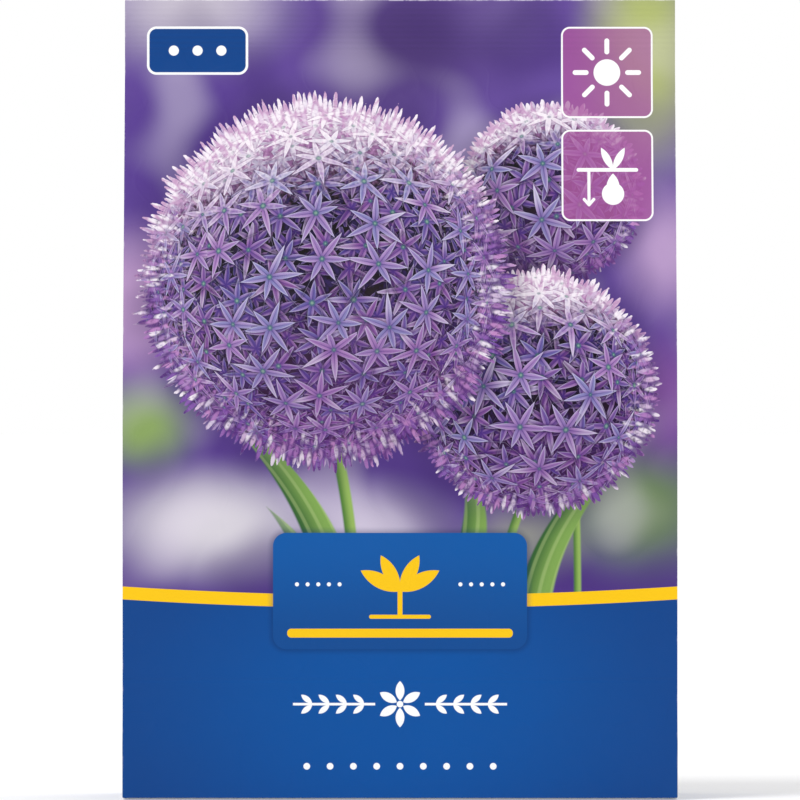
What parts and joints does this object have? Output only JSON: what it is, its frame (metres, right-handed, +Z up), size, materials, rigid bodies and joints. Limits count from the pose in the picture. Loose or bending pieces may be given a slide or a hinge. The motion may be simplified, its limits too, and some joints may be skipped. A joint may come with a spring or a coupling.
{
  "type": "flower bulb packet",
  "caption": "Upright block-bottom paper packet with pleated sides, flat sealed top and round vents, holding a flower bulb; the printed front shows purple globe flowers over a blue panel.",
  "frame": {"origin": "middle of the base, on the surface that the packet stands on", "axes": "+Z up towards the sealed top edge, the printed front faces -Y, +X to the right seen from the front"},
  "size_m": [0.125, 0.0588, 0.181],
  "materials": {
    "printed_paper": "satin",
    "bulb_skin": "matte"
  },
  "bodies": {
    "root": {"packet": "printed_paper", "bulb": "bulb_skin"}
  },
  "joints": []
}
